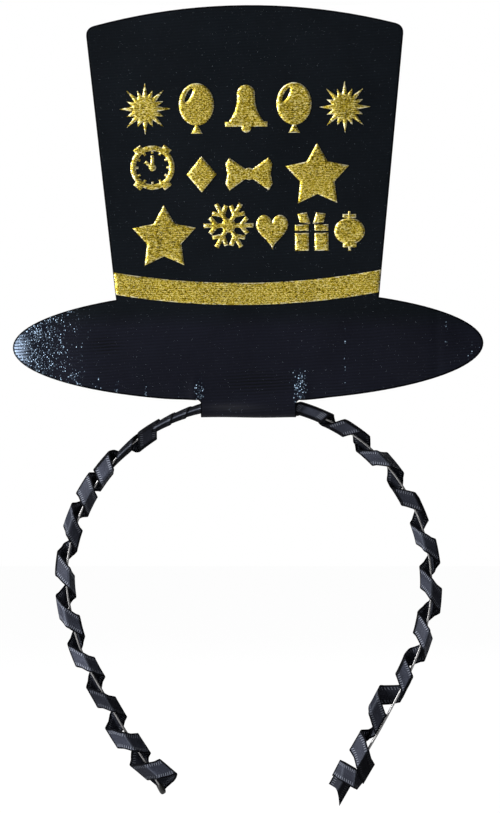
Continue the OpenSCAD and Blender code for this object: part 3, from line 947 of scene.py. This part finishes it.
# Darker and lighter tints of each black
CROWN_TINTS = (0.0024, 0.0038, 0.0056), (0.0040, 0.0060, 0.0086)
# The brim's pair is the crown's cloth with painted sheen, lighter and bluer
BRIM_TINTS = (0.0044, 0.0050, 0.0094), (0.0066, 0.0076, 0.0138)
LINING_TINTS = (0.014, 0.014, 0.016), (0.026, 0.026, 0.030)
FOAM_TINTS = (0.012, 0.012, 0.013), (0.035, 0.035, 0.038)
VINYL_TINTS = (0.010, 0.010, 0.010), (0.022, 0.022, 0.021)
RIBBON_TINTS = (0.042, 0.046, 0.066), (0.066, 0.073, 0.104)
STEEL_TINTS = (0.24, 0.235, 0.235), (0.46, 0.455, 0.455)
GLUE_TINTS = (0.55, 0.5, 0.38), (0.8, 0.76, 0.64)
RIB_SHADE = (0.0015, 0.0020, 0.0024)
CUT_EDGE = (0.0012, 0.0014, 0.002)
# Tints of painted glints and their glow, and of the painted highlight on the brim's left tip
SPECK = (0.62, 0.68, 0.78)
GLINT = (0.52, 0.73, 1.0)
GLOW = (0.6, 0.8, 1.0)
FLASH = (0.55, 0.7, 0.95)
RIB_PITCH = 1.1
RIBBON_RIB = 0.34
STITCH_PITCH = 0.78

# Spots of painted glints on the hat's face, where the cloth catches the light. In millimetres: middle x and
# z, half width, half height and how full
GLINT_SPOTS = (
    (-71, 12.5, 4.0, 3.0, 0.6), (-61.6, 8.2, 2.2, 3.4, 0.6), (-53.8, 5.8, 1.2, 2.6, 0.5),
    (-46.9, 4.4, 0.8, 2.6, 0.5), (-36.5, 3.4, 0.5, 2.6, 0.4), (-25, 2.6, 0.4, 2.4, 0.35),
    (-17.5, 4.0, 1.2, 3.6, 0.8), (17.9, 5.0, 1.8, 5.0, 1.1), (34, 12, 0.4, 12, 0.17),
    (70, 22, 0.4, 9, 0.17), (79.5, 17, 2.6, 3.4, 0.28), (-4, -3.5, 9, 1.4, 0.06),
)


def blob(look, x, z, middle_x, middle_z, wide, tall):
    """A soft spot on the hat's face, 1 in its middle."""
    dx = look.math("DIVIDE", look.math("SUBTRACT", x, middle_x), wide)
    dz = look.math("DIVIDE", look.math("SUBTRACT", z, middle_z), tall)
    squared = look.math("ADD", look.times(dx, dx), look.times(dz, dz))
    return look.math("POWER", math.e, look.times(squared, -1.0))


def ribbed_black(look, place, x, z, drift, ribs):
    """The cloth's own black, painted lighter and bluer on the brim as painted sheen, with painted shade
    along the ribs that shows more in places.
    """
    patches = look.spread(look.noise(place, 0.045), 0.0, 1.0)
    on_brim = look.ramp(look.fit(z, -0.05, 1.6), (0.0, 0.0), (0.3, 1.0))
    # The brim is the crown's cloth, painted lighter and bluer as painted sheen
    black = look.mix(on_brim, look.mix(patches, *CROWN_TINTS), look.mix(patches, *BRIM_TINTS))
    # Painted shade along the ribs, stronger over the tab where the cloth bends back and in a spot on the
    # left
    over_tab = blob(look, x, z, 4, 7, 17, 5.5)
    on_left = blob(look, x, z, -50, 20, 7, 4)
    ribbed = look.most(over_tab, on_left, look.ramp(drift, (0.5, 0.0), (0.75, 0.6)), 0.35)
    shade = look.ramp(look.fit(ribs, 0.5, 0.5), (0.4, 0.0), (0.75, 0.95))
    return look.mix(look.times(shade, ribbed), black, RIB_SHADE)


def specks(look, place):
    """Sparse specks of painted glint, one in each cell, most of them faint."""
    cells = look.cells(place, 2.5)
    dots = look.ramp(cells["Distance"], (0.08, 1.0), (0.13, 0.0))
    luck = look.split(cells["Color"], "Color")[0]
    return look.times(dots, look.ramp(luck, (0.7, 0.0), (0.92, 0.2), (1.0, 0.95)))


def glint_share(look, x, z):
    """How full the painted glints lie: they fill the left tip of the brim and a few spots along the lower
    edge.
    """
    tip = look.ramp(look.fit(x, -1 / 34, -49 / 34), (0.18, 0.0), (0.48, 0.24), (0.72, 0.62), (1.0, 1.0))
    share = look.times(tip, look.ramp(look.fit(z, -0.02, 1.0), (0.12, 0.0), (0.2, 1.0)))
    for *spot, much in GLINT_SPOTS:
        share = look.most(share, look.times(blob(look, x, z, *spot), much))
    return share


def painted_glints(look, place, x, z, share):
    """Upright grains of painted glint, each with its own brightness."""
    on_face = look.node("CombineXYZ", look.times(x, 3.8), look.times(z, 2.0)).outputs[0]
    grains = look.cells(on_face, 1.0, voronoi_dimensions="2D")
    luck = look.split(grains["Color"], "Color")
    patchy = look.ramp(look.noise(place, 0.35, 3.0, 0.7), (0.3, 0.55), (0.62, 1.15))
    shown = look.math("SUBTRACT", look.fit(look.times(share, patchy), 0.6, luck[0]), 1.0)
    shown = look.ramp(shown, (0.0, 0.0), (0.02, 1.0))
    inside = look.ramp(grains["Distance"], (0.3, 1.0), (0.5, 0.0))
    strength = look.ramp(luck[1], (0.0, 0.13), (0.4, 0.3), (0.75, 0.62), (1.0, 1.0))
    return look.times(look.times(shown, inside), strength)


def face_fabric_look():
    """Black coated fabric with painted light: shade in its level ribs, sparse glint specks, dense glints
    where it curls to the light.
    """
    look = Look("coated_fabric", Coat_Roughness=0.3, Emission_Color=(*GLOW, 1))
    place = look.place()
    x, _, z = look.split(place)
    drift = look.noise(place, 0.05)
    rib_phase = look.fit(z, 2 * math.pi / RIB_PITCH, look.times(drift, 9.0))
    ribs = look.math("SINE", look.math("ADD", rib_phase, look.times(x, -0.35)))
    grain = look.noise(place, (2.6, 2.6, 1.7), 2.0, 0.6)
    weave = look.noise(place, (0.9, 0.9, 5.0), 2.0)
    share = glint_share(look, x, z)
    glint = painted_glints(look, place, x, z, share)
    # A painted highlight on the brim's left tip, broken by the ribs
    flash = look.times(blob(look, x, z, -83, 17.5, 3.2, 5.8), look.ramp(ribs, (0.2, 0.7), (0.6, 0.05)))
    border = look.ramp(look.mark("border"), (0.2, 0.95), (0.5, 0.0))
    # The painted glints and the tip's painted highlight go into the base colour
    colour = look.mix(specks(look, place), ribbed_black(look, place, x, z, drift, ribs), SPECK)
    colour = look.mix(look.math("POWER", glint, 2.0), colour, GLINT)
    colour = look.mix(flash, colour, FLASH)
    look.to(look.mix(border, colour, CUT_EDGE), "Base Color")
    # A faint glow stands in for the mirror flash of each flake
    look.to(look.times(look.math("POWER", glint, 3.0), 1.2), "Emission Strength")
    look.to(look.fit(look.most(share, border), -0.055, 0.06), "Specular IOR Level")
    look.to(look.spread(grain, 0.42, 0.62), "Roughness")
    look.to(look.times(blob(look, x, z, -6, -1.6, 9, 1.6), 0.3), "Coat Weight")
    look.bump((ribs, 0.12, 0.05), (weave, 0.25, 0.05), (grain, 0.5, 0.1))
    return look.material


def foil_look():
    """Gold foil pressed over ribbed cloth: mustard gold with dark flecks in level rows, and pale painted
    highlights on the rims.
    """
    look = Look("gold_foil", Metallic=0.95)
    place = look.place()
    fleck = look.noise(place, (1.0, 1.0, 1.9), 3.0, 0.75)
    fine = look.noise(place, (2.4, 2.4, 3.4), 2.0, 0.6)
    rows = look.waves(look.split(place)[2], SERRATION)
    mixed = look.math("ADD", look.times(fleck, 0.55), look.times(fine, 0.45))
    mixed = look.math("ADD", mixed, look.times(rows, 0.018))
    gold = look.ramp(mixed, (0.40, (0.02, 0.012, 0.001)), (0.445, (0.20, 0.14, 0.005)),
                     (0.485, (0.54, 0.395, 0.022)), (0.535, (0.76, 0.59, 0.08)), (0.58, (1.0, 0.90, 0.42)))
    # Short level gaps where the cloth shows through, gathered in patches
    gaps = look.ramp(look.noise(place, (0.8, 0.8, 3.2), 2.0, 0.7), (0.55, 0.0), (0.6, 1.0))
    gathered = look.ramp(look.noise(place, 0.11, 1.0), (0.4, 0.0), (0.58, 0.95))
    gold = look.mix(look.times(gaps, gathered), gold, (0.03, 0.022, 0.004))
    # Painted highlights on the raised rims, broken up by noise
    rim = look.ramp(look.mark("rise"), (0.12, 1.0), (0.28, 0.0))
    highlight_share = look.ramp(look.noise(place, (0.5, 0.5, 1.4), 2.0), (0.48, 0.0), (0.6, 0.8))
    gold = look.mix(look.times(rim, highlight_share), gold, (1.0, 0.95, 0.7))
    # Random patches of duller gold
    darker_patches = look.ramp(look.noise(place, (0.12, 0.12, 0.2)), (0.45, 0.0), (0.75, 0.25))
    look.to(look.mix(darker_patches, gold, (0.36, 0.27, 0.02)), "Base Color")
    look.to(look.spread(fleck, 0.6, 0.34), "Roughness")
    look.bump((rows, 0.3, 0.08), (fleck, 0.9, 0.18), (fine, 0.5, 0.08))
    return look.material


def ribbon_look():
    """Black grosgrain: crosswise ribs, a slate face with painted shade as it turns away, light edge
    stitches, painted crease highlights.
    """
    look = Look("grosgrain", Roughness=0.55)
    strip = look.strip()
    along, over, _ = look.split(strip)
    across = look.math("DIVIDE", look.math("ABSOLUTE", over), RIBBON_W / 2)
    ribs = look.waves(along, RIBBON_RIB)
    stitch = look.fit(look.waves(along, STITCH_PITCH), 0.5, 0.5)
    band = look.ramp(across, (0.48, 0.0), (0.54, 1.0), (0.78, 1.0), (0.82, 0.0))
    stitches = look.times(band, look.ramp(stitch, (0.5, 0.0), (0.8, 1.0)))
    gaps = look.times(band, look.ramp(stitch, (0.15, 0.75), (0.45, 0.0)))
    fuzz = look.noise(strip, (1.4, 2.6, 1.0))
    # Random darker patches along the strip
    darker_patches = look.ramp(look.noise(strip, (0.09, 0.3, 1.0)), (0.35, 0.75), (0.7, 0.0))
    body = look.spread(fuzz, *RIBBON_TINTS)
    body = look.mix(darker_patches, body, (0.026, 0.029, 0.042))
    body = look.mix(gaps, body, (0.014, 0.015, 0.021))
    body = look.mix(look.times(stitches, 0.85), body, (0.25, 0.27, 0.33))
    # Painted highlights on the creases the mesh marks
    body = look.mix(look.times(look.mark("crease"), 0.5), body, (0.13, 0.145, 0.185))
    # Painted shade edge-on and where the mesh marks it; the selvedge is darker of its own, deepened by
    # painted shade
    turned = look.ramp(look.facing(), (0.6, 0.0), (0.85, 0.95))
    selvedge = look.ramp(across, (0.82, 0.0), (0.86, 0.96))
    dark = look.most(turned, selvedge, look.times(look.mark("under"), 0.96))
    look.to(look.mix(dark, body, (0.0025, 0.0025, 0.003)), "Base Color")
    look.to(look.fit(dark, -0.11, 0.12), "Specular IOR Level")
    look.bump((ribs, 0.3, 0.06), (stitches, 0.4, 0.08), (fuzz, 0.3, 0.05))
    return look.material


def steel_look():
    """Spring steel, with painted shade where it turns away, and fine lines rolled along it."""
    look = Look("spring_steel", Metallic=1.0)
    strip = look.strip()
    lines = look.noise(strip, (0.12, 9.0, 1.0))
    steel = look.spread(look.noise(strip, (0.25, 0.6, 1.0)), *STEEL_TINTS)
    # Painted shade where the strip is seen edge-on
    turned = look.ramp(look.facing(), (0.15, 0.0), (0.45, 0.94))
    look.to(look.mix(turned, steel, (0.015, 0.015, 0.016)), "Base Color")
    look.to(look.spread(lines, 0.28, 0.5), "Roughness")
    look.bump((lines, 0.3, 0.03))
    return look.material


def foam_look():
    """Black craft foam with open cells on its cut edge."""
    look = Look("craft_foam", Roughness=0.92, Specular_IOR_Level=0.2)
    place = look.place()
    cells = look.cells(place, 2.6)["Distance"]
    # Each cell is darker in its middle, as painted shade in the open pore
    look.to(look.ramp(cells, (0.1, FOAM_TINTS[0]), (0.6, FOAM_TINTS[1])), "Base Color")
    look.bump((cells, 0.8, 0.25), (look.noise(place, 0.5), 0.3, 0.1))
    return look.material


def lining_look():
    """Black brushed knit with a short nap."""
    look = Look("brushed_lining", Roughness=0.85, Specular_IOR_Level=0.25, Sheen_Weight=0.45)
    place = look.place()
    x, _, z = look.split(place)
    knit = look.times(look.waves(x, 0.8), look.waves(z, 0.6))
    nap = look.noise(place, (2.2, 2.2, 1.1), 4.0, 0.7)
    patches = look.ramp(look.noise(place, 0.06), (0.35, 0.0), (0.7, 1.0))
    look.to(look.mix(patches, *LINING_TINTS), "Base Color")
    look.bump((knit, 0.35, 0.08), (nap, 0.6, 0.12))
    return look.material


def vinyl_look():
    """Black dipped vinyl, slightly orange-peeled."""
    look = Look("dipped_vinyl", Specular_IOR_Level=0.4)
    peel = look.noise(look.place(), 1.6, 2.0)
    look.to(look.spread(peel, *VINYL_TINTS), "Base Color")
    look.to(look.spread(peel, 0.35, 0.55), "Roughness")
    look.bump((peel, 0.4, 0.1))
    return look.material


def glue_look():
    """Cloudy hot-melt glue."""
    look = Look("hot_melt_glue", Roughness=0.3, Transmission_Weight=0.3)
    cloud = look.noise(look.place(), 0.8)
    look.to(look.spread(cloud, *GLUE_TINTS), "Base Color")
    look.bump((cloud, 0.3, 0.15))
    return look.material


# ---- Assembly ----

LOOKS = {
    "face_fabric": face_fabric_look(), "gold_foil": foil_look(), "ribbon": ribbon_look(),
    "steel": steel_look(), "foam": foam_look(), "lining": lining_look(), "vinyl": vinyl_look(),
    "glue": glue_look(),
}
# Two arc lengths along each arm, at which fit_arm finds points on the band
BEND_FROM, BEND_TO = 18, 82


def fit_piece(obj, nodes, slot, body=None):
    """Puts a piece in place of CAD nodes, with its material, and lets it ride on a body."""
    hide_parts(*nodes)
    obj.data.materials.append(LOOKS[slot])
    if body:
        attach(obj, body)


def fit_hat():
    fit_piece(face_fabric(), ["front_fabric"], "face_fabric", "hat")
    fit_piece(backing("hat_foam", "foam_core", 0.3, 0.12, 2.4), ["foam_core"], "foam", "hat")
    fit_piece(backing("hat_lining", "back_lining", 0.15, 0.0, 2.2), ["back_lining"], "lining", "hat")
    fit_piece(glue_film(), ["tab_glue"], "glue", "hat")
    for node in [n for n in frame["nodes"] if n.startswith("foil_")]:
        fit_piece(foil_piece(node), [node], "gold_foil", "hat")


def fit_arm(arm, side):
    """Half of the headband, whose steel and ribbon run from the crown into the arm."""
    body = arm + "_arm"
    start, end = (tuple(at_band(side * s, 0, 0) * MM) for s in (BEND_FROM, BEND_TO))
    ribbon_end = TIP_S + 1.5 if side < 0 else TIP_S - 8.3
    steel = steel_half("strip_" + arm, side, 0.02)
    ribbon = ribbon_strip("grosgrain_" + arm, *sorted((side * 0.6, side * ribbon_end)))
    for piece, slot in ((steel, "steel"), (ribbon, "ribbon")):
        fit_piece(piece, [slot + "_crown", slot + "_" + arm], slot)
        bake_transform(piece)
        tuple(start)
        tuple(end)
    fit_piece(tip_cap("vinyl_tip_" + arm, side), ["tip_cap_" + arm], "vinyl", body)
    fit_piece(glue_dab("glue_dab_" + arm, side), ["glue_" + arm], "glue", body)


fit_hat()
fit_arm("left", -1)
fit_arm("right", 1)
for piece in (end_wrap(), end_tail()):
    fit_piece(piece, ["ribbon_end_fold"], "ribbon", "right_arm")


# ---- Stage, light and camera ----

FLOOR_GAP = 0.004
FLOOR_HALF = 4000
FLOOR_GLOW = 1.05
ROOM = (0.93, 0.96, 1.0, 1), 0.065
CAMERA_AWAY = 2.6
VIEW_HEIGHT = 0.2886
SENSOR = 36
# Azimuth and elevation in degrees, then distance, width and height in metres, and power
LIGHTS = {
    "key_left": (-60, 22, 1.3, 0.45, 0.7, 27),
    "fill_right": (36, 8, 1.4, 0.4, 0.7, 0.5),
    "top": (-50, 60, 1.3, 0.9, 0.5, 3.4),
    "back_fill": (160, 30, 1.6, 0.8, 0.8, 6),
}


def floor():
    """A plain white floor, so bright to the camera that it runs into the white room."""
    low = (CAD_BOX[0].z - FLOOR_GAP) / MM
    corners = [(x * FLOOR_HALF, y * FLOOR_HALF, low) for x, y in ((-1, -1), (1, -1), (1, 1), (-1, 1))]
    obj = make_object("paper_floor", corners, [[0, 1, 2, 3]])
    look = Look("white_paper", Roughness=0.9, Specular_IOR_Level=0.1)
    look.to(look.spread(look.noise(look.place(), 0.01), 0.84, 0.88), "Base Color")
    glow = look.node("Emission", (1, 1, 1, 1), FLOOR_GLOW).outputs[0]
    share = look.times(look.node("LightPath").outputs["Is Camera Ray"], 0.93)
    mixed = look.node("MixShader", share, look.shader.outputs[0], glow)
    look.put(look.tree.nodes["Material Output"].inputs[0], mixed.outputs[0])
    obj.data.materials.append(look.material)


def softbox(name, azimuth, elevation, distance, width, height, power):
    a, e = math.radians(azimuth), math.radians(elevation)
    away = Vector((math.sin(a) * math.cos(e), -math.cos(a) * math.cos(e), math.sin(e)))
    light = bpy.data.lights.new(name, "AREA")
    light.shape = "RECTANGLE"
    light.size, light.size_y = width, height
    light.energy = power
    obj = add_object(name, light)
    obj.location = away * distance
    obj.rotation_mode = "QUATERNION"
    obj.rotation_quaternion = away.to_track_quat("Z", "Y")


def world():
    """White to the camera, a dim and slightly blue room to everything else."""
    made = bpy.data.worlds.new("studio")
    made.use_nodes = True
    tree = made.node_tree
    room = tree.nodes["Background"]
    room.inputs[0].default_value, room.inputs[1].default_value = ROOM
    white = tree.nodes.new("ShaderNodeBackground")
    white.inputs[0].default_value = (1, 1, 1, 1)
    path = tree.nodes.new("ShaderNodeLightPath")
    mix = tree.nodes.new("ShaderNodeMixShader")
    seen = path.outputs["Is Camera Ray"]
    for source, socket in zip((seen, room.outputs[0], white.outputs[0]), mix.inputs):
        tree.links.new(source, socket)
    tree.links.new(mix.outputs[0], tree.nodes["World Output"].inputs[0])
    bpy.context.scene.world = made


def camera():
    """Level and straight on, from far away, so that the view is close to parallel."""
    data = bpy.data.cameras.new("camera")
    data.sensor_width = SENSOR
    data.lens = SENSOR * CAMERA_AWAY / VIEW_HEIGHT
    data.clip_end = 50
    obj = add_object("camera", data)
    obj.location = (0.0005, -CAMERA_AWAY, -0.0016)
    obj.rotation_euler = (math.pi / 2, 0, 0)
    bpy.context.scene.camera = obj


floor()
world()
for name, settings in LIGHTS.items():
    softbox(name, *settings)
camera()
bpy.context.scene.view_settings.view_transform = "Standard"
